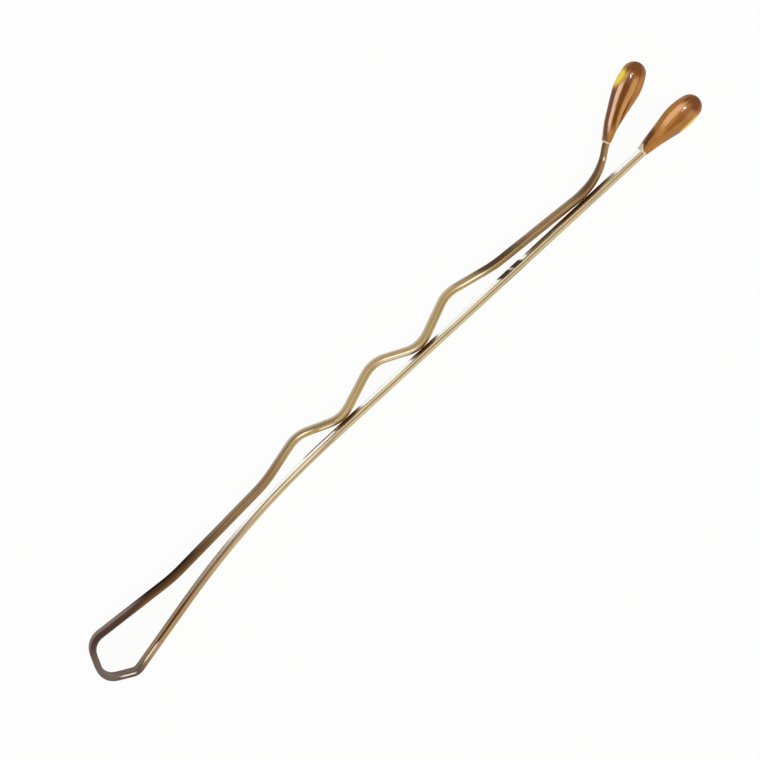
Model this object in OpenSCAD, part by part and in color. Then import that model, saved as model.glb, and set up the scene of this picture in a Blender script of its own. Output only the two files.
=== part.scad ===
// Bobby pin: one strip of flat spring wire folded at the closed end into two long legs,
// one straight and one waved, each leg ending in a dipped drop of resin.
// Millimetres. The pin lies on its side: +X runs from the closed end to the tips, +Y from the
// straight leg to the waved leg, +Z along the width of the wire. The origin is at the middle
// of the outline's box, on the surface the drops rest on.
// In the sizes below, x is measured from the outside of the closed end and y from the centre
// line of the straight leg. Each node is one stretch of the wire or one drop.

/* [Wire] */
// thickness of the flat wire, across its flats
wire_thickness = 0.4; // [0.36:0.02:0.44]
// width of the flat wire, from one round edge to the other
wire_width = 1.2; // [1.1:0.02:1.3]

/* [Overall] */
// length from the outside of the closed end to the end of the straight leg's drop
pin_length = 50.8; // [46:0.2:56]
// clearance between the flats where the waved leg comes down to the straight leg
leg_gap = 0.2; // [0.15:0.01:0.3]
// how much shorter the waved leg is, from the end of one wire to the end of the other
leg_step = 1.15; // [0.8:0.05:1.6]

/* [Closed end] */
// drop of the lower corner's centre line below the straight leg's centre line
loop_drop = 2.46; // [2.22:0.02:2.7]
// rise of the upper corner's centre line above the straight leg's centre line
loop_rise = 0.8; // [0.72:0.01:0.88]
// x of the lower corner's bend centre
lower_corner_x = 1.95; // [1.75:0.05:2.15]
// bend radius of the lower corner, at the centre line
lower_corner_radius = 0.65; // [0.55:0.05:0.8]
// how far the outermost corner's bend centre lies below the straight leg's centre line
side_corner_drop = 1.02; // [0.92:0.02:1.12]
// bend radius of the outermost corner, at the centre line
side_corner_radius = 0.95; // [0.85:0.05:1.05]
// x of the upper corner's bend centre
upper_corner_x = 1.6; // [1.5:0.05:1.8]
// bend radius of the upper corner, at the centre line
upper_corner_radius = 1.1; // [1:0.05:1.2]

/* [Straight leg] */
// x of the corner that the bow rounds off, where the root's line would meet the leg's line
bow_corner_x = 13.3; // [12.2:0.1:14.4]
// radius of the bow, at the centre line
bow_radius = 61; // [55:1:67]

/* [Waved leg] */
// x of the lowest place of the root, between the closed end and the first wave
root_dip_x = 7.5; // [6.8:0.1:8.2]
// height of that lowest place, at the centre line
root_dip_height = 0.34; // [0.31:0.01:0.37]
// bend radius of the root's dip, at the centre line
root_dip_radius = 10; // [9:0.5:11]
// how far before the first crest the bend centre of the first rise lies
rise_lead = 4.4; // [4:0.1:4.8]
// height of the lowest place that the first rise's bend circle reaches, at the centre line
rise_height = 0.71; // [0.64:0.01:0.78]
// bend radius of the first rise, at the centre line
rise_radius = 8.1; // [7.3:0.1:8.9]
// number of crests
wave_count = 3; // [2:1:3]
// distance from one crest to the next
wave_pitch = 6.47; // [5.87:0.05:7.07]
// distance from a crest to the valley after it
valley_lead = 3; // [2.7:0.05:3.3]
// height of the first crest's centre line above the straight leg's centre line
crest_height = 1.51; // [1.36:0.01:1.66]
// how much higher each crest is than the one before it
crest_gain = 0.1; // [0:0.01:0.12]
// bend radius of the crests, at the centre line
crest_radius = 2.1; // [1.9:0.05:2.3]
// bend radius of the valleys, at the centre line
valley_radius = 1.95; // [1.75:0.05:2.15]
// distance from the last crest to the bend centre of the long approach
approach_lead = 4.45; // [4:0.05:4.9]
// height of the lowest place that the approach's bend circle reaches, at the centre line
approach_height = 0.99; // [0.9:0.01:1.08]
// bend radius of the approach, at the centre line
approach_radius = 9.1; // [8.2:0.1:10]
// distance from the last crest to the last place that comes down to the straight leg
last_touch_lead = 9.85; // [8.9:0.05:10.8]
// bend radius of the last valley, where the leg turns up to its drop, at the centre line
kick_radius = 4.5; // [4.1:0.1:4.9]
// slope of the leg after the last valley
kick_angle = 39.5; // [36:0.5:43]
// length of the straight wire at that slope
kick_run = 0.25; // [0.1:0.05:0.5]
// slope of the drop's axis on the waved leg
tip_angle = 26; // [23.5:0.5:28.5]
// bend radius between those two slopes, at the centre line
tip_bend_radius = 1.6; // [1.45:0.05:1.75]

/* [Drops] */
// largest diameter of each drop
tip_diameter = 1.7; // [1.6:0.02:1.8]
// length of the straight leg's drop
straight_tip_length = 4.8; // [4.6:0.1:5.2]
// length of the waved leg's drop
waved_tip_length = 5.3; // [5:0.1:5.6]
// resin beyond the end of the wire
tip_solid_end = 1.5; // [1.3:0.05:1.7]
// thickness of the resin on the wire where the drop begins
resin_coat = 0.06; // [0.05:0.01:0.08]
// radius of the drop's long bulge, along its length
tip_bulge_radius = 3.9; // [3.6:0.1:4.2]
// radius of the drop's rounded end
tip_end_radius = 0.74; // [0.7:0.01:0.78]
// how far before the end of the wire the resin over the wire's round edges runs out
shoulder_end_lead = 0.5; // [0.4:0.05:0.7]
// depth of that resin under the bulge where it runs out
shoulder_end_depth = 0.19; // [0.17:0.01:0.22]

/* [Flexing places] */
// length of straight wire between the closed end's corners and the places where the legs flex
flex_distance = 2.4; // [2.1:0.1:2.7]
// running clearance between the rounded end and its socket where the wire flexes
flex_clearance = 0.03; // [0.02:0.005:0.05]

/* [Hidden] */
$fn = 48;
// overlap that lets a cut run past the surface it opens
cut_past = 0.5;
// Neighbouring stretches overlap by join_overlap, and each straight one is thinner than its
// bends by join_step all round, so that no two surfaces lie on each other.
join_overlap = 0.02;
join_step = 0.002;
// how far the resin over the edges and between them lies inside the drop's surface
shoulder_inset = 0.012;
// distance from the middle of the width to the place where the resin over each edge runs out
shoulder_end_z = 0.05;
half_thickness = wire_thickness / 2;
// distance of each round edge's centre from the middle of the wire's width
edge_z = (wire_width - wire_thickness) / 2;
touch_height = wire_thickness + leg_gap;
straight_wire_end = pin_length - tip_solid_end;
straight_tip_start = pin_length - straight_tip_length;

// colours of the wire and the resin
wire_colour = [0.72, 0.62, 0.44];
root_colour = [0.42, 0.35, 0.29];
resin_colour = [0.62, 0.34, 0.14, 0.9];

// The wire's centre line runs tangent from one bend circle to the next. Each bend is
// [centre x, centre y, radius]: the radius is positive where the path turns left, negative
// where it turns right, and zero at a plain point.

function step_along(angle) = [cos(angle), sin(angle)];
function left_of(angle) = [-sin(angle), cos(angle)];
// heading of the straight line that leaves bend a and touches bend b
function tangent(a, b) =
    let (far = norm([b.x - a.x, b.y - a.y]))
    atan2(b.y - a.y, b.x - a.x) - asin((b[2] - a[2]) / far);
// the same direction, as an angle between minus and plus half a turn
function half_turn(angle) = angle - 360 * round(angle / 360);

// The path starts at the straight leg's end and runs back to the closed end. The bow turns
// it from the leg's line to the line through its corner that touches the lower corner.
lower_corner = [lower_corner_x, lower_corner_radius - loop_drop, -lower_corner_radius];
bow_turn = half_turn(tangent([bow_corner_x, 0, 0], lower_corner) - 180);
straight_bends = [
    [straight_wire_end, 0, 0],
    [bow_corner_x + bow_radius * tan(bow_turn / 2), -bow_radius, bow_radius],
];

loop_bends = [
    lower_corner,
    [half_thickness + side_corner_radius, -side_corner_drop, -side_corner_radius],
    [upper_corner_x, loop_rise - upper_corner_radius, -upper_corner_radius],
];

// The waved leg is placed from its drop backwards. It leaves its last valley at the kick
// angle, and bends back to the slope of the drop's axis where the drop begins.
waved_wire_end_x = straight_wire_end - leg_step;
waved_wire_length = waved_tip_length - tip_solid_end;
waved_tip_start_x = waved_wire_end_x - waved_wire_length * cos(tip_angle);
bend_back_span = tip_bend_radius * (sin(kick_angle) - sin(tip_angle));
last_touch_x = waved_tip_start_x - bend_back_span - kick_run * cos(kick_angle)
    - kick_radius * sin(kick_angle);
last_crest_x = last_touch_x - last_touch_lead;
first_crest_x = last_crest_x - (wave_count - 1) * wave_pitch;

root_bends = [
    [root_dip_x, root_dip_height + root_dip_radius, root_dip_radius],
    [first_crest_x - rise_lead, rise_height + rise_radius, rise_radius],
];

// crest i, and the valley between it and the next one
function crest(i) = [
    first_crest_x + i * wave_pitch,
    crest_height + i * crest_gain - crest_radius,
    -crest_radius
];
function valley(i) = [
    first_crest_x + i * wave_pitch + valley_lead,
    touch_height + valley_radius,
    valley_radius
];
wave_bends = [
    for (i = [0:2 * wave_count - 2])
        i % 2 == 0 ? crest(i / 2) : valley((i - 1) / 2)
];

approach_bends = [
    [last_crest_x + approach_lead, approach_height + approach_radius, approach_radius],
    [last_touch_x, touch_height + kick_radius, kick_radius],
];

kick_centre = [last_touch_x, touch_height + kick_radius];
kick_leave = kick_centre - kick_radius * left_of(kick_angle);
bend_back_start = kick_leave + kick_run * step_along(kick_angle);
bend_back_centre = bend_back_start - tip_bend_radius * left_of(kick_angle);
waved_tip_start = bend_back_centre + tip_bend_radius * left_of(tip_angle);
waved_wire_end = waved_tip_start + waved_wire_length * step_along(tip_angle);

end_bends = [
    [bend_back_centre.x, bend_back_centre.y, -tip_bend_radius],
    [waved_wire_end.x, waved_wire_end.y, 0],
];

bends = concat(
    straight_bends, loop_bends, root_bends, wave_bends, approach_bends, end_bends
);

// number of the last bend before each flexing place, and of the path's last bend
straight_flex = len(straight_bends) - 1;
waved_flex = straight_flex + len(loop_bends);
last_bend = len(bends) - 1;

// heading of the straight stretch after bend i, and its two ends
function heading(i) = tangent(bends[i], bends[i + 1]);
function place(i) = [bends[i].x, bends[i].y];
function leave(i) = place(i) - bends[i][2] * left_of(heading(i));
function arrive(i) = place(i) - bends[i][2] * left_of(heading(i - 1));
// turn made at bend i
function turn(i) = half_turn(heading(i) - heading(i - 1));

// the two places where the wire flexes
straight_pivot = arrive(straight_flex + 1) - flex_distance * step_along(heading(straight_flex));
waved_pivot = leave(waved_flex) + flex_distance * step_along(heading(waved_flex));

// Box of the outline, for the origin. The lower corner is its lowest place and the waved
// leg's drop its highest.
tip_radius = tip_diameter / 2;
low_y = -loop_drop - half_thickness;
round_centre = waved_wire_end + (tip_solid_end - tip_end_radius) * step_along(tip_angle);
bulge_depth = tip_bulge_radius - tip_radius;
// distance from the drop's widest place to the centre of its rounded end
end_lead = sqrt(pow(tip_bulge_radius - tip_end_radius, 2) - pow(bulge_depth, 2));
bulge_centre = round_centre - end_lead * step_along(tip_angle)
    - bulge_depth * left_of(tip_angle);
// the highest place is on the bulge or on the rounded end, whichever faces straight up
high_y = end_lead > bulge_depth * tan(tip_angle)
    ? bulge_centre.y + tip_bulge_radius
    : round_centre.y + tip_end_radius;
middle = [pin_length / 2, (low_y + high_y) / 2];

// Cross-section of the wire: two flats and two half-round edges, thickness along x.
module wire_section(radius) {
    square([2 * radius, 2 * edge_z], center = true);
    for (side = [-1, 1])
        translate([0, side * edge_z])
            circle(r = radius);
}

// Straight wire from one point to another, running past each by the overlap given for it.
module wire_straight(
    from, to, past_from = join_overlap, past_to = join_overlap, radius = half_thickness - join_step
) {
    run = to - from;
    translate([from.x, from.y, 0])
        rotate([0, 0, atan2(run.y, run.x)])
            translate([-past_from, 0, 0])
                rotate([90, 0, 90])
                    linear_extrude(height = norm(run) + past_from + past_to)
                        wire_section(radius);
}

// The bent wire of bend i. It sweeps round the bend's centre, from the side where the
// path arrives when it turns left and from the side where it leaves when it turns right.
module wire_bend(i) {
    radius = abs(bends[i][2]);
    first = bends[i][2] > 0 ? heading(i - 1) - 90 : heading(i) + 90;
    translate([bends[i].x, bends[i].y, 0])
        rotate([0, 0, first])
            rotate_extrude(angle = abs(turn(i)))
                translate([radius, 0])
                    wire_section(half_thickness);
}

// The wire from a point after bend first_bend - 1 to a point after bend final_bend.
module wire_run(from, first_bend, final_bend, to) {
    wire_straight(from, arrive(first_bend), 0, join_overlap);
    for (i = [first_bend:final_bend]) {
        wire_bend(i);
        if (i < final_bend)
            wire_straight(leave(i), arrive(i + 1));
    }
    wire_straight(leave(final_bend), to, join_overlap, 0);
}

// Upright pill that the wire's end makes when it is rounded about the line it flexes on.
module flex_pill(pivot, radius) {
    translate([pivot.x, pivot.y, 0])
        rotate_extrude()
            intersection() {
                wire_section(radius);
                translate([0, -wire_width])
                    square([wire_width, 2 * wire_width]);
            }
}

// Closed end with the first stretch of each leg. Both its ends are rounded.
module head_bend() {
    color(root_colour) {
        wire_run(straight_pivot, straight_flex + 1, waved_flex, waved_pivot);
        flex_pill(straight_pivot, half_thickness - 2 * join_step);
        flex_pill(waved_pivot, half_thickness - 2 * join_step);
    }
}

// Straight leg, from its socket to the end inside its drop. Its end inside the drop is a
// step thinner, so that the leg's flats end where the drop begins.
module straight_leg() {
    color(wire_colour)
        difference() {
            union() {
                wire_run([straight_tip_start, 0], straight_flex, straight_flex, straight_pivot);
                wire_straight(
                    [straight_tip_start, 0], [straight_wire_end, 0],
                    join_overlap, 0, half_thickness - 2 * join_step
                );
            }
            flex_pill(straight_pivot, half_thickness + flex_clearance);
        }
}

// Waved leg, from its socket to the end inside its drop.
module waved_leg() {
    color(wire_colour)
        difference() {
            wire_run(waved_pivot, waved_flex + 1, last_bend - 1, waved_wire_end);
            flex_pill(waved_pivot, half_thickness + flex_clearance);
        }
}

// Outline of one drop above its axis, from the place where it begins to its rounded end.
// A straight taper runs tangent into a long bulge, and the bulge into the rounded end.
module drop_outline(length) {
    start_radius = half_thickness + resin_coat;
    end_x = length - tip_end_radius;
    bulge_x = end_x - end_lead;
    // slope of the taper that leaves the start and touches the bulge's circle
    far = norm([bulge_x, bulge_depth + start_radius]);
    taper = asin(tip_bulge_radius / far) - atan2(bulge_depth + start_radius, bulge_x);
    taper_end = [bulge_x, -bulge_depth] + tip_bulge_radius * left_of(taper);
    // where the bulge meets the rounded end
    meet_angle = asin(end_lead / (tip_bulge_radius - tip_end_radius));
    meet_x = end_x + tip_end_radius * sin(meet_angle);
    // The taper runs on a little way inside the bulge, and the bulge stops a little way
    // before the place where it would only touch the rounded end.
    inner_end = taper_end + join_overlap * step_along(taper) - [0, join_step];
    polygon([[0, 0], [0, start_radius], inner_end, [inner_end.x, 0]]);
    intersection() {
        translate([bulge_x, -bulge_depth])
            circle(r = tip_bulge_radius);
        translate([taper_end.x, 0])
            square([meet_x - 2 * join_overlap - taper_end.x, tip_diameter]);
    }
    intersection() {
        translate([end_x, 0])
            circle(r = tip_end_radius);
        translate([bulge_x, 0])
            square([length, tip_diameter]);
    }
}

// One resin drop along +X from the origin. The round drop is narrower than the flat wire at
// its start, so two slanted cones and the wedge between them carry the resin over the
// wire's edges and flats until the drop is wide enough.
module drop(length) {
    // the cones and the wedge lie a little inside the outline and end inside the bulge
    cone_start = half_thickness + resin_coat - shoulder_inset;
    cone_end = tip_radius - shoulder_end_depth;
    cone_run = length - tip_solid_end - shoulder_end_lead;
    lean = atan2(edge_z - shoulder_end_z, cone_run);
    difference() {
        union() {
            rotate([90, 0, 90])
                rotate_extrude()
                    rotate([0, 0, 90])
                        mirror([0, 1])
                            drop_outline(length);
            for (side = [-1, 1])
                translate([0, 0, side * edge_z])
                    rotate([0, 90 + side * lean, 0])
                        cylinder(h = cone_run / cos(lean), r1 = cone_start, r2 = cone_end);
            intersection() {
                translate([0, 0, -edge_z])
                    linear_extrude(height = 2 * edge_z)
                        polygon([
                            [0, shoulder_inset - cone_start],
                            [cone_run, shoulder_inset - cone_end],
                            [cone_run, cone_end - shoulder_inset],
                            [0, cone_start - shoulder_inset],
                        ]);
                rotate([90, 0, 0])
                    linear_extrude(height = tip_diameter, center = true)
                        polygon([
                            [0, -edge_z],
                            [cone_run, -shoulder_end_z],
                            [cone_run, shoulder_end_z],
                            [0, edge_z],
                        ]);
            }
        }
        wire_straight([0, 0], [length - tip_solid_end, 0], cut_past, 0);
    }
}

// Drop on the straight leg.
module straight_leg_tip() {
    color(resin_colour)
        translate([straight_tip_start, 0, 0])
            drop(straight_tip_length);
}

// Drop on the waved leg.
module waved_leg_tip() {
    color(resin_colour)
        translate([waved_tip_start.x, waved_tip_start.y, 0])
            rotate([0, 0, tip_angle])
                drop(waved_tip_length);
}

// Puts a piece in the part's frame.
module placed() {
    translate([-middle.x, -middle.y, tip_radius])
        children();
}

placed() head_bend();
placed() straight_leg();
placed() waved_leg();
placed() straight_leg_tip();
placed() waved_leg_tip();
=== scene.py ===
"""A bobby pin: a flat spring wire folded at its closed end, with a drop of amber resin on each end."""

import math

import bpy
import numpy as np
from mathutils import Matrix, Vector


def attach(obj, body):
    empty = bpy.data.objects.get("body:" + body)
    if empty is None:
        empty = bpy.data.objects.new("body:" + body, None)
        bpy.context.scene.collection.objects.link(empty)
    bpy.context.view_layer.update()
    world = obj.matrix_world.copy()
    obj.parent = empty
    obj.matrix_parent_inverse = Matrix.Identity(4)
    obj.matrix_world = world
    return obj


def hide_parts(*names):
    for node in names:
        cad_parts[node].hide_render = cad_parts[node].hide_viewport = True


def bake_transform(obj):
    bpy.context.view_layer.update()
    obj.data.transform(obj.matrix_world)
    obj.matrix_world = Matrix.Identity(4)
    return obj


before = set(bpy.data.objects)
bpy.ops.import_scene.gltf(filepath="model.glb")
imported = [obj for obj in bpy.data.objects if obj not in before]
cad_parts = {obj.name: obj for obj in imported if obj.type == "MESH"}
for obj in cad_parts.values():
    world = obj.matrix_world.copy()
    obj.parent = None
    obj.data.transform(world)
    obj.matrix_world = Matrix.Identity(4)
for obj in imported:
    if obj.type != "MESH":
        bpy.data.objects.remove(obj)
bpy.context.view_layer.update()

MM = 0.001


# The wire, straight half
# One strip of flat spring steel with rounded edges, drawn, lacquered champagne gold and bent on a former.
# This half runs from the end inside the straight leg's drop to the middle of the closed end.

wire_thickness = 0.4
wire_width = 1.2
half_thickness = wire_thickness / 2
# distance of each round edge's centre from the middle of the wire's width
edge_centre = (wire_width - wire_thickness) / 2
pin_length = 50.8
tip_radius = 0.85
# resin beyond the end of the wire
tip_solid_end = 1.5
straight_tip_length = 4.8
waved_tip_length = 5.3
straight_wire_end = pin_length - tip_solid_end
# slope of the waved leg's drop
tip_slope = math.radians(26)
# the waved leg comes down to this height, at its centre line
touch_height = wire_thickness + 0.2
wave_pitch = 6.47
valley_lead = 3.0
crest_radius = 2.1
valley_radius = 1.95


def tangent(a, b):
    """Heading in radians of the straight line that leaves bend circle a and touches bend circle b.

    A bend is (centre x, centre y, radius) in mm. The radius is positive where the path turns left and
    negative where it turns right.
    """
    across = math.hypot(b[0] - a[0], b[1] - a[1])
    return math.atan2(b[1] - a[1], b[0] - a[0]) - math.asin((b[2] - a[2]) / across)


def end_of_waved_leg():
    """The bends of the waved leg's end, and where its last valley and its wire's end are.

    The leg leaves its last valley at the kick's slope, and bends back to the drop's slope where the drop
    begins. It is placed backwards from the drop.
    """
    # how much shorter than the straight leg it is, then the sizes in mm of its kick away from that leg
    leg_step = 1.15
    kick_radius = 4.5
    kick_run = 0.25
    back_radius = 1.6
    kick = math.radians(39.5)
    waved_wire = waved_tip_length - tip_solid_end
    drop_x = straight_wire_end - leg_step - waved_wire * math.cos(tip_slope)
    back_span = back_radius * (math.sin(kick) - math.sin(tip_slope))
    last_touch = drop_x - back_span - kick_run * math.cos(kick) - kick_radius * math.sin(kick)
    kick_x = last_touch + kick_radius * math.sin(kick) + kick_run * math.cos(kick)
    kick_y = touch_height + kick_radius * (1 - math.cos(kick)) + kick_run * math.sin(kick)
    back_x = kick_x + back_radius * math.sin(kick)
    back_y = kick_y - back_radius * math.cos(kick)
    wire_end_x = back_x - back_radius * math.sin(tip_slope) + waved_wire * math.cos(tip_slope)
    wire_end_y = back_y + back_radius * math.cos(tip_slope) + waved_wire * math.sin(tip_slope)
    valley = (last_touch, touch_height + kick_radius, kick_radius)
    return last_touch, [valley, (back_x, back_y, -back_radius), (wire_end_x, wire_end_y, 0)]


def wire_bends():
    """The bends of the wire's centre line from the straight leg's end to the waved leg's end.

    Returns the list of bends in mm, with y from the straight leg's centre line and x from the closed end.
    """
    # the straight leg's long bow, whose straight lines would meet at the bow's corner
    bow_corner_x = 13.3
    bow_radius = 61
    # the closed end: lowest point at -2.46, left side at 0, highest point at 0.8
    lower_corner = (1.95, 0.65 - 2.46, -0.65)
    side_corner = (half_thickness + 0.95, -1.02, -0.95)
    upper_corner = (1.6, 0.8 - 1.1, -1.1)
    # the waved leg's dip after the closed end, its rise to the first crest and its way down from the last
    root_dip = (7.5, 0.34 + 10, 10)
    last_touch, end_bends = end_of_waved_leg()
    last_crest = last_touch - 9.85
    first_crest = last_crest - 2 * wave_pitch
    first_rise = (first_crest - 4.4, 0.71 + 8.1, 8.1)
    approach = (last_crest + 4.45, 0.99 + 9.1, 9.1)
    # height of the first crest's centre line and how much higher each later one is
    crest_height = 1.51
    crest_growth = 0.1
    bow_turn = tangent((bow_corner_x, 0, 0), lower_corner) + math.pi
    bow = (bow_corner_x + bow_radius * math.tan(bow_turn / 2), -bow_radius, bow_radius)
    bends = [(straight_wire_end, 0, 0), bow, lower_corner, side_corner, upper_corner, root_dip, first_rise]
    for wave in range(3):
        crest_x = first_crest + wave * wave_pitch
        crest_y = crest_height + crest_growth * wave
        bends.append((crest_x, crest_y - crest_radius, -crest_radius))
        bends.append((crest_x + valley_lead, touch_height + valley_radius, valley_radius))
    # the last crest is followed by the long approach, not by a valley
    return bends[:-1] + [approach] + end_bends


def centre_line(bends, spacing=0.05, softening=0.12):
    """The centre line as evenly spaced points, and the distance along it.

    Straight lines run tangent from one bend circle to the next. The points are then averaged with
    their neighbours by a bell curve of the width softening, as a bend in wire has no sudden start.
    """
    arc_step = 0.03
    headings = [tangent(a, b) for a, b in zip(bends, bends[1:])]
    stretches = [np.array([bends[0][:2]], dtype=float)]
    for number in range(1, len(bends) - 1):
        x, y, radius = bends[number]
        turn = headings[number] - headings[number - 1]
        turn -= 2 * math.pi * round(turn / (2 * math.pi))
        steps = max(4, int(abs(turn * radius) / arc_step))
        heading = headings[number - 1] + np.linspace(0, turn, steps + 1)
        stretches.append(np.stack([x + radius * np.sin(heading), y - radius * np.cos(heading)], axis=1))
    stretches.append(np.array([bends[-1][:2]], dtype=float))
    points = np.concatenate(stretches)
    passed = np.concatenate([[0], np.cumsum(np.hypot(*np.diff(points, axis=0).T))])
    along = np.linspace(0, passed[-1], int(passed[-1] / spacing) + 1)
    even = np.stack([np.interp(along, passed, points[:, axis]) for axis in (0, 1)], axis=1)
    reach = int(4 * softening / spacing)
    bell = np.exp(-0.5 * (np.arange(-reach, reach + 1) * spacing / softening) ** 2)
    bell /= bell.sum()
    soft = even.copy()
    for axis in (0, 1):
        soft[reach:-reach, axis] = np.convolve(even[:, axis], bell, mode="valid")
    return soft, along


# the part's frame: the middle of the pin's box lies over the origin, and the drops rest on the floor
middle_y = 1.03458
line, walked = centre_line(wire_bends())
line = line - np.array([pin_length / 2, middle_y])
# distance along the wire is counted from the outermost place of the closed end
fold = int(np.argmin(line[:, 0]))
from_fold = walked - walked[fold]
slopes = np.gradient(line, axis=0)
slopes /= np.hypot(slopes[:, 0], slopes[:, 1])[:, None]


def new_mesh(name, vertices, faces):
    """A smooth-shaded mesh object from vertices in mm and faces, linked to the scene."""
    mesh = bpy.data.meshes.new(name)
    mesh.from_pydata((vertices * MM).tolist(), [], faces)
    mesh.update()
    mesh.polygons.foreach_set("use_smooth", [True] * len(mesh.polygons))
    thing = bpy.data.objects.new(name, mesh)
    bpy.context.collection.objects.link(thing)
    return thing


def rings_of_faces(rows, count):
    """Four-cornered faces between one ring of count vertices and the next, the outside to the right."""
    corner = np.arange((rows - 1) * count).reshape(rows - 1, count)
    following = np.roll(corner, -1, axis=1)
    faces = np.stack([corner, corner + count, following + count, following], axis=-1)
    return faces.reshape(-1, 4).tolist()


def wire_section(arc_steps=14, flat_steps=4):
    """The wire's cross-section as points (across the thickness, across the width) in mm.

    Two half circles joined by two flats.
    """
    angle = np.linspace(0, math.pi, arc_steps, endpoint=False)
    share = np.linspace(0, 1, flat_steps, endpoint=False)
    arc = np.stack([half_thickness * np.cos(angle), edge_centre + half_thickness * np.sin(angle)], axis=1)
    flat = np.stack([np.full(flat_steps, -half_thickness), edge_centre * (1 - 2 * share)], axis=1)
    side = np.concatenate([arc, flat])
    return np.concatenate([side, -side])


# how far the waved leg's end is twisted round its upper edge, and over which length from the fold
end_twist = math.radians(9.0)
twist_start = 43.6
twist_length = 2.4


def wire_piece(name, first, last):
    """The wire from point number first to point number last of its centre line.

    The cross-section is carried along the line, its thickness across the line in the bend plane and
    its width upright. The vector attribute straightened holds each vertex's place on the wire as if
    it were pulled straight: distance from the fold, across the thickness (positive outside), across
    the width, all in mm.
    """
    ring = wire_section()
    count = len(ring)
    rows = last + 1 - first
    left = np.stack([-slopes[first : last + 1, 1], slopes[first : last + 1, 0]], axis=1)
    turn = end_twist * np.clip((from_fold[first : last + 1, None] - twist_start) / twist_length, 0, 1)
    below = ring[None, :, 1] - edge_centre
    aside = ring[None, :, 0] * np.cos(turn) + below * np.sin(turn)
    level = line[first : last + 1, None, :] + aside[:, :, None] * left[:, None, :]
    height = below * np.cos(turn) - ring[None, :, 0] * np.sin(turn) + edge_centre
    upright = height[:, :, None] + tip_radius
    vertices = np.concatenate([level, upright], axis=2).reshape(-1, 3)
    distance = np.broadcast_to(from_fold[first : last + 1, None, None], (rows, count, 1))
    straightened = np.concatenate([distance, np.broadcast_to(ring, (rows, count, 2))], axis=2)
    faces = rings_of_faces(rows, count)
    faces.append(list(range(count)))
    faces.append(list(range((rows - 1) * count, rows * count))[::-1])
    thing = new_mesh(name, vertices, faces)
    mesh = thing.data
    # the edges round the two cut ends stay sharp
    corners = np.empty(len(mesh.edges) * 2, dtype=np.int32)
    mesh.edges.foreach_get("vertices", corners)
    ring_number = corners.reshape(-1, 2) // count
    sharp = (ring_number[:, 0] == ring_number[:, 1]) & np.isin(ring_number[:, 0], (0, rows - 1))
    mesh.attributes.new("sharp_edge", "BOOLEAN", "EDGE").data.foreach_set("value", sharp)
    place = mesh.attributes.new("straightened", "FLOAT_VECTOR", "POINT")
    place.data.foreach_set("vector", straightened.astype(np.float32).ravel())
    return thing


def tone(red, green, blue):
    """A colour given as it looks on a screen, 0 to 255, as linear light."""
    shares = [value / 255 for value in (red, green, blue)]
    return tuple(share / 12.92 if share < 0.04045 else ((share + 0.055) / 1.055) ** 2.4 for share in shares)


class Signal:
    """A node's output that can be added, multiplied and so on; each operation adds one Math node."""

    def __init__(self, shader, socket):
        self.shader = shader
        self.socket = socket

    def math(self, operation, *others):
        values = dict(enumerate((self, *others)))
        node = self.shader.node("ShaderNodeMath", {"operation": operation}, values)
        return Signal(self.shader, node.outputs[0])

    def reflected(self, operation, other):
        node = self.shader.node("ShaderNodeMath", {"operation": operation}, {0: other, 1: self})
        return Signal(self.shader, node.outputs[0])

    def __add__(self, other):
        return self.math("ADD", other)

    def __radd__(self, other):
        return self.math("ADD", other)

    def __sub__(self, other):
        return self.math("SUBTRACT", other)

    def __rsub__(self, other):
        return self.reflected("SUBTRACT", other)

    def __mul__(self, other):
        return self.math("MULTIPLY", other)

    def __rmul__(self, other):
        return self.math("MULTIPLY", other)

    def __truediv__(self, other):
        return self.math("DIVIDE", other)

    def __abs__(self):
        return self.math("ABSOLUTE")

    def either(self, other):
        """The larger of the two."""
        return self.math("MAXIMUM", other)


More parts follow.
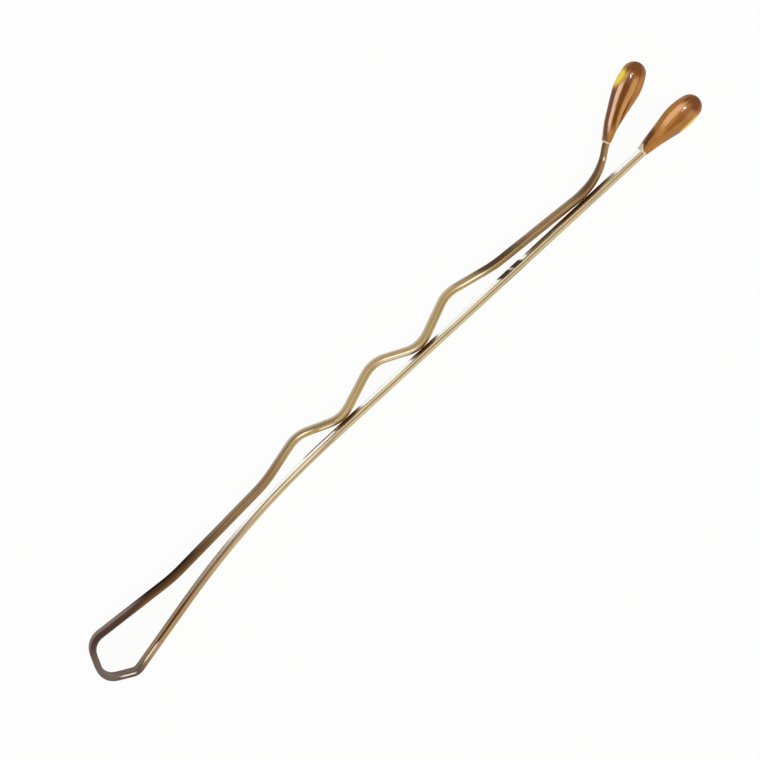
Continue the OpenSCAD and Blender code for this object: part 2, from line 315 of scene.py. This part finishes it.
class Shader:
    """One material's node tree. Colours are tuples or colour outputs."""

    def __init__(self, name):
        self.material = bpy.data.materials.new(name)
        self.material.use_nodes = True
        self.tree = self.material.node_tree
        self.tree.nodes.clear()
        self.surface = self.node("ShaderNodeBsdfPrincipled")
        self.output = self.node("ShaderNodeOutputMaterial", values={"Surface": self.surface.outputs[0]})

    def feed(self, socket, value):
        """Links an output to the socket, or sets the socket to an even value."""
        if isinstance(value, Signal):
            value = value.socket
        if isinstance(value, bpy.types.NodeSocket):
            self.tree.links.new(value, socket)
        elif isinstance(value, (tuple, list)) and len(value) == 3 and socket.type == "RGBA":
            socket.default_value = (*value, 1.0)
        else:
            socket.default_value = value

    def node(self, kind, settings=None, values=None):
        """A node of that type, with its settings and the values of its inputs by name or number."""
        node = self.tree.nodes.new(kind)
        for key, value in (settings or {}).items():
            setattr(node, key, value)
        for key, value in (values or {}).items():
            self.feed(node.inputs[key], value)
        return node

    def set(self, **values):
        """Values of the Principled shader's inputs, with _ for the blanks in their names."""
        for key, value in values.items():
            self.feed(self.surface.inputs[key.replace("_", " ")], value)

    def place(self):
        """The vector attribute straightened and its three parts."""
        vector = self.node("ShaderNodeAttribute", {"attribute_name": "straightened"}).outputs["Vector"]
        parts = self.node("ShaderNodeSeparateXYZ", None, {0: vector})
        return vector, *(Signal(self, parts.outputs[k]) for k in range(3))

    def step(self, value, low, high):
        """0 below low, 1 above high, smooth between them."""
        node = self.node(
            "ShaderNodeMapRange",
            {"interpolation_type": "SMOOTHSTEP"},
            {"Value": value, "From Min": low, "From Max": high},
        )
        return Signal(self, node.outputs[0])

    def band(self, value, middle, half_width, soft):
        """1 within half_width of the middle, falling to 0 over the distance soft."""
        return 1 - self.step(abs(value - middle), half_width, half_width + soft)

    def vector_math(self, operation, values):
        """The vector that the operation gives."""
        return self.node("ShaderNodeVectorMath", {"operation": operation}, values).outputs[0]

    def noise(self, vector, factors, detail=3.0, roughness=0.5):
        """Noise from 0 to 1 at the vector times three factors."""
        scaled = self.vector_math("MULTIPLY", {0: vector, 1: factors})
        node = self.node(
            "ShaderNodeTexNoise",
            {"noise_dimensions": "3D"},
            {"Vector": scaled, "Scale": 1.0, "Detail": detail, "Roughness": roughness},
        )
        return Signal(self, node.outputs[0])

    def mix(self, factor, a, b):
        """Colour a where the factor is 0 and colour b where it is 1."""
        # inputs 6 and 7 and output 2 are the colours of this node, which has sockets for each kind of data
        node = self.node("ShaderNodeMix", {"data_type": "RGBA"}, {0: factor, 6: a, 7: b})
        return node.outputs[2]

    def bump(self, height, distance, strength=1.0):
        """A surface normal that follows the height; distance is in metres."""
        values = {"Height": height, "Distance": distance, "Strength": strength}
        node = self.node("ShaderNodeBump", None, values)
        return node.outputs[0]


champagne = tone(214, 198, 160)
pale = tone(255, 254, 242)
cream = tone(255, 240, 212)
tan = tone(204, 172, 130)
gold = tone(182, 156, 106)
olive = tone(156, 134, 92)
taupe = tone(150, 130, 104)
light_taupe = tone(216, 200, 176)
bronze = tone(84, 64, 56)
grey_bronze = tone(146, 132, 122)
brown = tone(138, 105, 72)
walnut = tone(112, 82, 50)
sepia = tone(78, 46, 16)


class WireShader(Shader):
    """The wire's shader. It knows where a point lies on the wire, and has one method for each part.

    All places are in mm: along from the fold, negative on the straight leg; outward across the thickness,
    negative on the side of the other leg; across over the width, positive upwards. A zone's edge is given
    as two places, between which it fades; a line or a length as its middle, half width and fading.
    """

    def __init__(self, name):
        super().__init__(name)
        place, self.along, self.outward, self.across = self.place()
        self.straight_along = self.along * -1.0
        self.inward = self.outward * -1.0
        self.downward = self.across * -1.0
        self.streak = self.noise(place, (0.16, 12.0, 12.0), 3.0, 0.55)
        self.fine = self.noise(place, (0.8, 38.0, 38.0), 3.0, 0.6)
        self.patch = self.noise(place, (0.5, 1.5, 1.5), 3.0, 0.55)
        # five zones across the wire: two flats, a shoulder beside each and the crown between them
        self.flat = 1 - self.step(abs(self.across), edge_centre - 0.03, edge_centre + 0.03)
        outside = self.step(self.outward, -0.02, 0.02)
        self.outer_flat = self.flat * outside
        self.inner_flat = self.flat * (1 - outside)
        self.outer_shoulder = self.step(self.outward, 0.125, 0.165) * (1 - self.flat)
        self.inner_shoulder = self.step(self.inward, 0.085, 0.13) * (1 - self.flat)
        self.lower_part = self.step(self.downward, -0.3, 0.25)
        # beside the waved leg's last touch the straight leg's flat gets painted shade and reflection of the
        # waved leg
        shade_starts = (37.0, 38.0)
        shade_ends = (43.5, 45.0)
        shaded = self.step(self.straight_along, *shade_starts)
        self.shaded_length = shaded * (1 - self.step(self.straight_along, *shade_ends))

    def straight_leg(self):
        """Champagne with a painted dark reflection along the crown, a painted highlight on the inner
        shoulder and a pale flat towards the waved leg.
        """
        step, band, mix = self.step, self.band, self.mix
        # the crown's painted dark reflection line fades towards the bow, where another one lies further out
        crown_line = (-0.06, 0.03, 0.04)
        line_fades = (-22.0, -18.0)
        bow_line = (0.03, 0.03, 0.04)
        bow = (-17.5, 3.0, 1.5)
        line_strength = 1 - step(self.along, *line_fades) * 0.8
        colour = mix(band(self.outward, *crown_line) * line_strength, champagne, olive)
        colour = mix(band(self.along, *bow) * band(self.outward, *bow_line) * 0.7, colour, olive)
        # a painted highlight on the inner shoulder, and a darker outer one near the drop
        near_drop = (30.0, 34.0)
        colour = mix(self.inner_shoulder * 0.8, colour, cream)
        colour = mix(step(self.straight_along, *near_drop) * self.outer_shoulder * 0.8, colour, olive)
        # the flat towards the waved leg is painted pale, a painted reflection of the floor that its real
        # reflection adds to
        colour = mix(self.inner_flat, colour, pale)
        # painted shade and reflection on the flat beside the waved leg's last touch
        colour = mix(self.shaded_length * self.inner_flat * 0.95, colour, tone(164, 132, 90))
        # tan from the bow to the closed end, with a brown line beside the flat
        tan_begins = (-17.0, -12.0)
        flat_line = (-0.1, 0.03, 0.04)
        flat_line_begins = (-15.0, -11.0)
        round_edge = 1 - self.inner_flat - self.inner_shoulder * 0.7
        colour = mix(step(self.along, *tan_begins) * round_edge * 0.7, colour, tan)
        return mix(step(self.along, *flat_line_begins) * band(self.outward, *flat_line), colour, brown)

    def waved_leg(self):
        """Gold with a painted highlight line outside, a painted dark reflection line on the crown, a
        painted highlight on the inner shoulder, a dark outer shoulder and a flat that is lighter below.

        The flat is taupe above, and gold along the waves.
        """
        step, band, mix = self.step, self.band, self.mix
        light_line = (0.1, 0.015, 0.03)
        crown_line = (0.03, 0.01, 0.03)
        colour = mix(band(self.outward, *light_line) * 0.7, gold, champagne)
        colour = mix(band(self.outward, *crown_line) * 0.5, colour, olive)
        colour = mix(self.inner_shoulder * 0.6, colour, cream)
        waves_begin = (22.0, 23.5)
        waves_end = (35.5, 36.3)
        waves = step(self.along, *waves_begin) * (1 - step(self.along, *waves_end))
        colour = mix(self.outer_shoulder * (0.9 - waves * 0.7), colour, mix(0.45, olive, sepia))
        flat_colour = mix(self.lower_part, mix(waves, taupe, gold), light_taupe)
        colour = mix(self.outer_flat, colour, flat_colour)
        # it turns brown towards its drop, darkest where it bends up, and before the first wave
        brown_begins = (34.0, 40.0)
        end_begins = (42.0, 44.0)
        root_ends = (16.5, 19.5)
        colour = mix(step(self.along, *brown_begins) * 0.65, colour, brown)
        end_shade = step(self.along, *end_begins) * step(self.outward, 0.02, 0.1)
        colour = mix(end_shade * (1 - self.lower_part * 0.9) * 0.75, colour, tone(80, 52, 30))
        colour = mix((1 - step(self.along, *root_ends)) * 0.6, colour, tone(136, 98, 64))
        # painted shade: darker lengths at the last crest and after it
        last_crest_shade = (34.8, 0.9, 0.5)
        after_crest = (36.9, 1.2, 0.8)
        colour = mix(band(self.along, *last_crest_shade) * self.outer_flat * 0.4, colour, walnut)
        colour = mix(band(self.along, *after_crest) * 0.3, colour, walnut)
        # darker lines just before the first touch
        before_touch = band(self.along, 21.5, 0.6, 0.3)
        touch_line = (0.09, 0.03, 0.03)
        colour = mix(before_touch * band(self.outward, *touch_line) * 0.8, colour, brown)
        return mix(before_touch * self.inner_shoulder * 0.7, colour, olive)

    def closed_end(self, colour):
        """The legs' colour with the closed end and both roots added."""
        step, mix = self.step, self.mix
        # the straight leg's root: tan outside, dark beside its pale flat
        straight_root_lightens = (7.0, 10.0)
        lightening = step(self.straight_along, *straight_root_lightens) * 0.35
        root = mix(step(self.inward, 0.05, 0.13) * (0.9 - lightening), mix(0.45, tan, brown), sepia)
        root = mix(self.inner_flat, root, tone(192, 166, 136))
        # the waved leg's root: brown inside and nearly black outside
        waved_root = mix(step(self.outward, -0.08, 0.06) * 0.8, brown, sepia)
        outer_side = self.outer_shoulder.either(self.outer_flat)
        waved_root = mix(outer_side * 0.9, waved_root, tone(48, 30, 16))
        # the bend: dark bronze, greyer on its flats and at the fold
        near_fold = 1 - step(abs(self.along), 0.5, 2.2)
        wider_fold = 1 - step(abs(self.along), 1.0, 3.0)
        bend = mix(self.flat * 0.9, bronze, grey_bronze)
        bend = mix(self.inner_shoulder * 0.5, bend, grey_bronze)
        bend = mix(near_fold * (1 - self.flat) * 0.5, bend, grey_bronze)
        bend = mix(wider_fold * self.outer_shoulder * 0.7, bend, tone(48, 36, 30))
        # where each part passes into the next
        waved_root_begins = (4.5, 6.5)
        waved_flat_lightens = (9.5, 13.0)
        bend_begins = (-4.2, -1.8)
        root_begins = (-13.0, -6.5)
        root_ends = (9.5, 15.0)
        bend = mix(step(self.along, *waved_root_begins), bend, waved_root)
        bend = mix(step(self.along, *waved_flat_lightens) * self.outer_flat * 0.8, bend, taupe)
        root = mix(step(self.along, *bend_begins), root, bend)
        return mix(step(self.along, *root_begins) * (1 - step(self.along, *root_ends)), colour, root)

    def painted_highlights(self, colour):
        """The colour with painted highlights along lengths of the round edge."""
        # middle and half length along the wire, and place across the edge
        places = (
            (-17.5, 2.4, -0.1),
            (-3.8, 0.75, -0.11),
            (-1.75, 0.5, -0.03),
            (20.0, 0.4, 0.09),
            (21.6, 0.5, -0.03),
            (28.0, 1.4, -0.03),
            (28.0, 1.2, 0.06),
            (34.8, 1.0, 0.04),
            (45.95, 0.12, -0.03),
        )
        shine = None
        for middle, half_length, line_place in places:
            length = self.band(self.along, middle, half_length * 0.5, half_length * 0.8)
            line_shine = length * self.band(self.outward, line_place, 0.02, 0.05)
            shine = line_shine if shine is None else shine.either(line_shine)
        return self.mix(shine * (1 - self.flat) * 0.85, colour, cream)

    def touch_shade_places(self):
        """Painted shade and reflection where the legs touch, with uneven ends."""
        # middle on the straight leg, middle on the waved leg, half length
        touches = ((-41.75, 43.0, 1.9), (-28.9, 29.5, 0.8), (-22.4, 22.7, 0.8))
        uneven = self.along + (self.patch - 0.5) * 1.2 + (self.fine - 0.5) * 0.9
        touch_shade = None
        for straight_place, waved_place, half_length in touches:
            for middle in (straight_place, waved_place):
                shaded_touch = self.band(uneven, middle, half_length * 0.55, half_length * 0.95)
                touch_shade = shaded_touch if touch_shade is None else touch_shade.either(shaded_touch)
        # on the waved leg the painted shade reaches higher up the round edge
        return touch_shade * self.step(self.inward + self.waved_side() * 0.12, 0.155, 0.185)

    def waved_side(self):
        """0 on the straight leg and 1 on the waved leg."""
        return self.step(self.along, -1.0, 1.0)

    def dark_marks(self):
        """Dark dashes and a dark length on the straight leg, and painted shade after the waved leg's last
        crest.
        """
        step, band = self.step, self.band
        # two dark dashes across the flat, and a dark length on the round edge beyond them
        ragged = self.along + (self.fine - 0.5) * 0.5 + self.across * 0.25
        dark_dashes = band(ragged, -36.4, 0.26, 0.2).either(band(ragged, -35.45, 0.3, 0.24)) * 0.92
        dark_edge_length = band(ragged, -35.8, 0.7, 0.4) * step(self.outward, 0.1, 0.14) * (1 - self.flat)
        # painted shade on the waved leg's outer side after its last crest
        wander = self.along + (self.patch - 0.5) * 2.4 + (self.streak - 0.5) * 1.6
        dark_length = band(wander, 36.9, 0.7, 1.7) * step(self.outward, 0.07, 0.15)
        dark_length = dark_length * (0.92 - self.lower_part * 0.12)
        return (dark_dashes * step(self.inward, 0.13, 0.18)).either(dark_edge_length * 0.8).either(dark_length)

    def covered(self):
        """1 where the wire lies under resin."""
        straight_start = -from_fold[0] - (straight_tip_length - tip_solid_end)
        waved_start = from_fold[-1] - (waved_tip_length - tip_solid_end)
        on_straight = self.step(self.straight_along, straight_start, straight_start + 0.05)
        return on_straight + self.step(self.along, waved_start, waved_start + 0.05)


def wire_material():
    """Champagne gold lacquer over drawn steel, with streaks along the wire.

    The closed end is a dark bronze. Where the legs touch, painted brown shade and reflection darken both.
    """
    shader = WireShader("champagne_wire")
    step, mix = shader.step, shader.mix
    colour = mix(shader.waved_side(), shader.straight_leg(), shader.waved_leg())
    colour = shader.painted_highlights(shader.closed_end(colour))
    touch_shade = shader.touch_shade_places()
    marks = shader.dark_marks()
    # painted shade and reflection where the legs touch, darker on the waved leg
    colour = mix(touch_shade, colour, mix(shader.waved_side(), tone(150, 106, 48), tone(108, 64, 16)))
    colour = mix(marks, colour, tone(68, 46, 20))
    colour = mix(shader.covered() * 0.8, colour, brown)
    # streaks and fine grain lighten and darken the lacquer, and make it redder in patches
    grain = step(shader.streak * 0.6 + shader.fine * 0.25 + shader.patch * 0.15, 0.34, 0.66)
    level = shader.vector_math("SCALE", {0: colour, "Scale": 0.76 + grain * 0.42})
    redder = shader.vector_math("MULTIPLY", {0: level, 1: (1.1, 0.92, 0.74)})
    colour = mix(step(shader.patch, 0.5, 0.68) * 0.35, level, redder)
    # a painted reflection of the waved leg: a darker line on the straight leg's flat beside the touch
    # nearest the closed end
    reflected_line = shader.band(shader.along, -20.2, 0.9, 0.6) * step(shader.downward, 0.05, 0.12)
    reflected_line = reflected_line * shader.inner_flat
    colour = mix(reflected_line * 0.8, colour, olive)
    # the rolled flats are dull, but for the straight leg's pale one, which shines where no painted shade or
    # dark mark lies on it
    dull = step(touch_shade.either(marks).either(reflected_line).either(shader.shaded_length), 0.0, 0.3)
    shining = shader.inner_flat * step(shader.straight_along, 11.0, 14.0) * (1 - dull)
    relief = (shader.streak * 0.7 + shader.fine * 0.3) * (1 - shader.flat)
    shader.set(
        Base_Color=colour,
        Metallic=(1 - shader.flat) * (1 - step(touch_shade, 0.0, 0.3)) + shining,
        Specular_IOR_Level=0.0,
        Roughness=0.24 + grain * 0.08,
        Normal=shader.bump(relief, distance=0.00002, strength=0.35),
    )
    return shader.material


wire_straight = wire_piece("wire_straight_half", 0, fold)
champagne_wire = wire_material()
wire_straight.data.materials.append(champagne_wire)
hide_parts("straight_leg", "head_bend")
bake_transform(wire_straight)


# The wire, waved half
# The same strip from the middle of the closed end to the end inside the waved leg's drop.

wire_waved = wire_piece("wire_waved_half", fold, len(line) - 1)
wire_waved.data.materials.append(champagne_wire)
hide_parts("waved_leg")
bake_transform(wire_waved)


# The straight leg's drop
# Amber resin that the end of the leg was dipped in. It starts as a thin coat with a small rounded lip
# round the flat wire and swells to a round drop past the wire's end, a little to one side of it.


def drop_radius(x, length):
    """Radius of the round drop at the distances x from its start, in mm.

    A straight taper from the coat on the wire's flat runs tangent into a long bulge, and the bulge into
    a rounded end.
    """
    start = 0.25
    bulge = 3.9
    end = 0.74
    depth = bulge - tip_radius
    lead = math.sqrt((bulge - end) ** 2 - depth**2)
    end_x = length - end
    bulge_x = end_x - lead
    taper = math.asin(bulge / math.hypot(bulge_x, depth + start)) - math.atan2(depth + start, bulge_x)
    taper_end = bulge_x - bulge * math.sin(taper)
    meet = end_x + end * lead / (bulge - end)
    straight = start + x * math.tan(taper)
    round_part = np.sqrt(np.maximum(bulge**2 - (x - bulge_x) ** 2, 0)) - depth
    end_part = np.sqrt(np.maximum(end**2 - (x - end_x) ** 2, 0))
    return np.where(x < taper_end, straight, np.where(x < meet, round_part, end_part))


def drop_piece(name, length, origin, angle, sag, drift, twist):
    """A drop along its axis from the origin, as rings of points with closed poles.

    Each ring is a circle drawn out across the wire's width by as much as the wire still sticks out of it:
    two half circles joined by straight sides, which lean by the angle twist as the wire does. The rings'
    middle leaves the wire's line by a share of the distance sag at the start and the whole of it after the
    settling length, as 3 t^2 - 2 t^3, and after that by drift for each mm.
    """
    rings = 140
    count = 96
    lip_length = 0.06
    start_share = 0.4
    settling_length = 1.2
    # the wire's half width with its coat, and how softly the drawn sides run out there
    coated_half_width = edge_centre + half_thickness + 0.035
    softness = 0.006
    # the drop's last stretch is round, and the straight sides run out over the stretch before it
    round_length = 1.3
    fade_length = 1.5
    around = np.linspace(0, 2 * math.pi, count, endpoint=False)
    # rings crowd together at both ends
    x = (0.5 - 0.5 * np.cos(np.linspace(0, math.pi, rings)))[1:-1] * length
    radius = drop_radius(x, length)
    # the resin's edge on the wire is a small quarter-round lip
    lip = np.sqrt(1 - np.clip(1 - x / lip_length, 0, 1) ** 2)
    lip_start = half_thickness * 0.98
    radius = lip_start + (radius - lip_start) * lip
    # half length of the straight sides, running out where the drop is as wide as the coated wire
    missing = coated_half_width - radius
    fade = np.clip((length - round_length - x) / fade_length, 0, 1)
    drawn = 0.5 * (missing + np.sqrt(missing**2 + softness)) * fade
    settle = np.clip(x / settling_length, 0, 1)
    settled = start_share + (1 - start_share) * settle**2 * (3 - 2 * settle)
    aside = sag * settled + drift * np.clip(x - settling_length, 0, None)
    # the upper half circle stays, the lower one moves down, and the points between spread over the sides
    stretch = drawn[:, None] * (np.clip(3 * np.sin(around), -1, 1) - 1)
    across = radius[:, None] * np.cos(around) + aside[:, None] + stretch * math.sin(twist)
    upright = radius[:, None] * np.sin(around) + drawn[:, None] + stretch * math.cos(twist)
    rows = len(x)
    lengthways = np.broadcast_to(x[:, None], across.shape)
    places = np.stack([lengthways, across, upright], axis=2).reshape(-1, 3)
    start_pole, end_pole = len(places), len(places) + 1
    places = np.concatenate([places, [[0, aside[0], 0], [length, aside[-1], 0]]])
    faces = [face[::-1] for face in rings_of_faces(rows, count)]
    here = np.arange(count)
    following = np.roll(here, -1)
    first_fan = np.stack([np.full(count, start_pole), following, here], axis=1)
    last_row = (rows - 1) * count
    last_fan = np.stack([np.full(count, end_pole), last_row + here, last_row + following], axis=1)
    faces += first_fan.tolist() + last_fan.tolist()
    cosine = math.cos(angle)
    sine = math.sin(angle)
    turn = np.array([[cosine, sine, 0], [-sine, cosine, 0], [0, 0, 1]])
    thing = new_mesh(name, places @ turn + np.array([origin[0], origin[1], tip_radius]), faces)
    # the attribute counts across from the rings' middle
    own = places.copy()
    own[:, 1] -= np.concatenate([np.repeat(aside, count), aside[[0, -1]]])
    attribute = thing.data.attributes.new("straightened", "FLOAT_VECTOR", "POINT")
    attribute.data.foreach_set("vector", own.astype(np.float32).ravel())
    return thing


def resin_material(name, length, gather, pale_start, glow, streaks):
    """Glossy, slightly clear amber resin with flow streaks and painted reflections along the drop.

    Angles are in degrees from the top towards the left. Each streak is (angle, half width, the ends
    nearer the wire and nearer the rounded end in mm from the rounded end, strength, colour). Gather is
    how fast streaks turn towards the wire, in degrees for a square millimetre. Glow is a painted bright
    spot where light would leave the resin: (angle, half width, place from the rounded end and half
    length in mm, colour). Pale_start is how much of the resin's start on its left side is painted near
    white, 0 to 1.
    """
    shader = Shader(name)
    place, along, across, upright = shader.place()
    step, band, mix = shader.step, shader.band, shader.mix
    to_end = length - along
    # a little is added so that nothing is divided by 0 on the drop's axis
    far = (across * across + upright * upright).math("SQRT") + 0.001
    side = across / far
    flow = shader.node("ShaderNodeCombineXYZ", None, {0: along, 1: side, 2: upright / far}).outputs[0]
    ribbon = shader.noise(flow, (0.22, 4.5, 4.5), 3.0, 0.55)
    thread = shader.noise(flow, (0.5, 13.0, 13.0), 3.0, 0.6)
    cloud = shader.noise(place, (1.2, 1.6, 1.6), 2.0, 0.5)
    flowing = step(ribbon * 0.62 + thread * 0.23 + cloud * 0.15, 0.36, 0.64)
    colour = mix(flowing, tone(146, 88, 24), tone(216, 154, 82))
    # towards the wire the streaks turn lower round the drop
    turned = (3.1 - along).either(0.0)
    plain_angle = across.math("ARCTAN2", upright) * math.degrees(1.0)
    angle = plain_angle + (ribbon - 0.5) * 14.0 + turned * turned * gather
    # the listed streaks are flow streaks together with painted reflections, highlight bands and shade bands
    for middle, half_width, starts, ends, strength, streak_colour in streaks:
        reach = step(to_end, ends - 0.3, ends + 0.3) * (1 - step(to_end, starts - 0.4, starts + 0.4))
        ribbon_mask = band(angle, middle, half_width * 0.65, half_width * 0.7)
        colour = mix(ribbon_mask * reach * strength, colour, streak_colour)
    # a painted glow where light would leave the resin
    spot_angle, spot_width, spot_place, spot_length, spot_colour = glow
    around = (angle - spot_angle) / spot_width
    lengthways = (to_end - spot_place) / spot_length
    spot = 1 - step((around * around + lengthways * lengthways).math("SQRT"), 0.7, 1.15)
    colour = mix(spot, colour, spot_colour)
    # the rounded end is redder and darker, with a wavy border
    cap = 1 - step(to_end + (ribbon - 0.5) * 0.5, 0.55, 0.95)
    cap_colour = mix(step(thread, 0.35, 0.65), tone(104, 54, 18), tone(140, 80, 36))
    cap_colour = mix(step(abs(angle - 15.0), 30.0, 60.0) * 0.7, cap_colour, tone(186, 130, 86))
    colour = mix(cap * 0.9, colour, cap_colour)
    # the resin begins aslant: beside the wire's pale flat its first part is painted near white, like the
    # flat's reflection of the floor
    clear = step(side - along * 1.8, -0.1, 0.15) * (1 - step(along, 0.3, 0.5)) * pale_start
    colour = mix(clear, colour, tone(255, 250, 232))
    # the resin's edge on the wire catches the light
    rim = (1 - step(along, 0.06, 0.12)) * band(side, 0.0, 0.5, 0.3) * step(upright, 0.0, 0.1)
    colour = mix(rim * 0.85, colour, tone(255, 240, 208))
    # a light gloss on the whole drop, and a strong one where the lamp's glint lies
    glint = band(angle, 20.0, 12.0, 10.0) * band(to_end, 1.0, 0.3, 0.2)
    gloss = 0.08 + glint * 0.55
    shader.set(
        Base_Color=colour,
        Roughness=0.2 + cloud * 0.05,
        IOR=1.5,
        Specular_IOR_Level=0.0,
        Transmission_Weight=0.15,
        Coat_Weight=gloss,
        Coat_Roughness=0.09,
        Normal=shader.bump(ribbon, 0.00003, 0.05),
    )
    amber = {"Color": (0.90, 0.55, 0.08), "Density": 1500.0}
    volume = shader.node("ShaderNodeVolumeAbsorption", None, amber)
    shader.feed(shader.output.inputs["Volume"], volume.outputs[0])
    return shader.material


straight_tip_start = np.array([pin_length / 2 - straight_tip_length, -middle_y])
drop_straight = drop_piece(
    "drop_straight_leg",
    straight_tip_length,
    straight_tip_start,
    angle=0.0,
    sag=0.07,
    drift=0.0,
    twist=0.0,
)
# painted reflections, a painted highlight band and a painted shaded band among the flow streaks
straight_streaks_and_reflections = (
    (76, 16, 3.3, 0.9, 0.7, tone(190, 132, 62)),
    (80, 32, 4.7, 3.4, 0.95, tone(100, 62, 30)),
    (39, 12, 2.8, 1.0, 0.95, tone(255, 192, 138)),
    (13, 9, 2.9, 0.6, 0.85, tone(166, 104, 38)),
    (15, 3, 3.7, 2.0, 0.6, tone(212, 162, 62)),
    (-12, 16, 4.75, 3.2, 0.6, tone(204, 134, 78)),
    (-42, 18, 3.5, 2.2, 0.85, tone(168, 126, 94)),
    (-16, 14, 1.5, 0.7, 0.6, tone(196, 144, 96)),
)
straight_glow = (-66, 24, 1.4, 0.95, tone(255, 234, 146))
amber_straight = resin_material(
    "amber_straight",
    straight_tip_length,
    gather=4.0,
    pale_start=0.9,
    glow=straight_glow,
    streaks=straight_streaks_and_reflections,
)
drop_straight.data.materials.append(amber_straight)
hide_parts("straight_leg_tip")
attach(drop_straight, "straight_side")


# The waved leg's drop
# The same resin on the waved leg's end, a little longer and leaning with the leg.

waved_tip_way = np.array([math.cos(tip_slope), math.sin(tip_slope)])
waved_tip_start = line[-1] - (waved_tip_length - tip_solid_end) * waved_tip_way
drop_waved = drop_piece(
    "drop_waved_leg",
    waved_tip_length,
    waved_tip_start,
    angle=tip_slope,
    sag=0.12,
    drift=-0.04,
    twist=end_twist,
)
# painted reflections and a painted highlight band among the flow streaks
waved_streaks_and_reflections = (
    (72, 22, 5.2, 2.0, 0.95, tone(118, 78, 58)),
    (41, 8, 4.5, 1.5, 0.95, tone(250, 208, 184)),
    (17, 11, 4.2, 0.85, 0.95, tone(116, 64, 18)),
    (-10, 10, 4.9, 0.9, 0.85, tone(222, 162, 100)),
    (-26, 7, 4.2, 2.3, 0.9, tone(124, 78, 34)),
    (-48, 13, 2.6, 0.6, 0.7, tone(198, 132, 66)),
)
waved_glow = (86, 44, 1.1, 0.85, tone(255, 226, 90))
amber_waved = resin_material(
    "amber_waved",
    waved_tip_length,
    gather=5.5,
    pale_start=0.0,
    glow=waved_glow,
    streaks=waved_streaks_and_reflections,
)
drop_waved.data.materials.append(amber_waved)
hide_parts("waved_leg_tip")
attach(drop_waved, "waved_side")


# The studio
# A plain white floor under the pin, an even white tent round it, one small lamp for the wire's gleam and
# one oval lamp for each drop's glint, seen from nearly straight above with a long lens.

floor_reach = 1.5
floor_mesh = bpy.data.meshes.new("floor")
corners = [(x * floor_reach, y * floor_reach, 0) for x, y in ((-1, -1), (1, -1), (1, 1), (-1, 1))]
floor_mesh.from_pydata(corners, [], [(0, 1, 2, 3)])
floor = bpy.data.objects.new("floor", floor_mesh)
bpy.context.collection.objects.link(floor)
floor_look = Shader("white_floor")
floor_look.set(Base_Color=(0.92, 0.92, 0.92), Roughness=0.9, Specular_IOR_Level=0.0)
rays = floor_look.node("ShaderNodeLightPath")
seen = Signal(floor_look, rays.outputs["Is Camera Ray"])
for kind in ("Is Glossy Ray", "Is Transmission Ray"):
    seen = seen.either(Signal(floor_look, rays.outputs[kind]))
paper_white = floor_look.node("ShaderNodeEmission", None, {"Color": (1, 1, 1), "Strength": 1.0})
# most of the white is even, and the rest keeps the pin's soft shadow
floor_parts = {0: seen * 0.94, 1: floor_look.surface.outputs[0], 2: paper_white.outputs[0]}
seen_floor = floor_look.node("ShaderNodeMixShader", None, floor_parts)
floor_look.feed(floor_look.output.inputs["Surface"], seen_floor.outputs[0])
floor_mesh.materials.append(floor_look.material)

# the pin's heading in the frame, the camera's tilt from straight above and the pin's slope in the picture
lean = math.radians(2.36)
tilt = math.radians(13.2)
diagonal = math.radians(44.955)
pin_way = Vector((math.cos(lean), math.sin(lean), 0))
side_way = Vector((-math.sin(lean), math.cos(lean), 0))
back = side_way * math.sin(tilt) + Vector((0, 0, 1)) * math.cos(tilt)
up_side = side_way * math.cos(tilt) - Vector((0, 0, 1)) * math.sin(tilt)
right = pin_way * math.cos(diagonal) - up_side * math.sin(diagonal)
up = pin_way * math.sin(diagonal) + up_side * math.cos(diagonal)
# the camera looks at this place, which the photograph has at its middle
target = Vector((-0.6, 0.614427 - middle_y, tip_radius)) * MM
camera_data = bpy.data.cameras.new("camera")
camera_data.lens = 300
camera_data.sensor_width = 36
picture_width = 760
pixels_per_mm = 16.38
frame_width = picture_width / pixels_per_mm * MM
distance = frame_width * camera_data.lens / camera_data.sensor_width
camera_data.clip_start = 0.01
camera_data.clip_end = 10
camera = bpy.data.objects.new("camera", camera_data)
camera_axes = Matrix((right, up, back)).transposed()
camera.matrix_world = Matrix.Translation(target + back * distance) @ camera_axes.to_4x4()
bpy.context.collection.objects.link(camera)
bpy.context.scene.camera = camera


def studio_lamp(name, way, width, depth, energy, lit_piece=None):
    """An oval lamp, its width along the pin; with a lit_piece it makes a glint there only.

    Way is its direction from the pin: along the pin, to its side and up.
    """
    lamp_distance = 0.5
    data = bpy.data.lights.new(name, "AREA")
    data.shape = "ELLIPSE"
    data.size = width
    data.size_y = depth
    data.energy = energy
    lamp = bpy.data.objects.new(name, data)
    out = (pin_way * way[0] + side_way * way[1] + Vector((0, 0, way[2]))).normalized()
    across = out.cross(pin_way).normalized()
    axes = Matrix((across.cross(out), across, out)).transposed()
    lamp.matrix_world = Matrix.Translation(out * lamp_distance) @ axes.to_4x4()
    bpy.context.collection.objects.link(lamp)
    if lit_piece:
        lamp.visible_diffuse = False
        lit = bpy.data.collections.new(name + "_lights")
        lit.objects.link(lit_piece)
        lamp.light_linking.receiver_collection = lit


studio_lamp("key_lamp", (0.26, 0.44, 0.86), 0.03, 0.03, 0.1)
studio_lamp("straight_glint_lamp", (0.4, 0.54, 0.86), 0.04, 0.16, 0.55, drop_straight)
studio_lamp("waved_glint_lamp", (0.16, 0.52, 0.86), 0.04, 0.16, 0.55, drop_waved)

world = bpy.data.worlds.new("tent")
bpy.context.scene.world = world
world.use_nodes = True
background = world.node_tree.nodes["Background"]
background.inputs["Color"].default_value = (1.0, 0.99, 0.97, 1)
background.inputs["Strength"].default_value = 0.9

bpy.context.scene.view_settings.view_transform = "Standard"
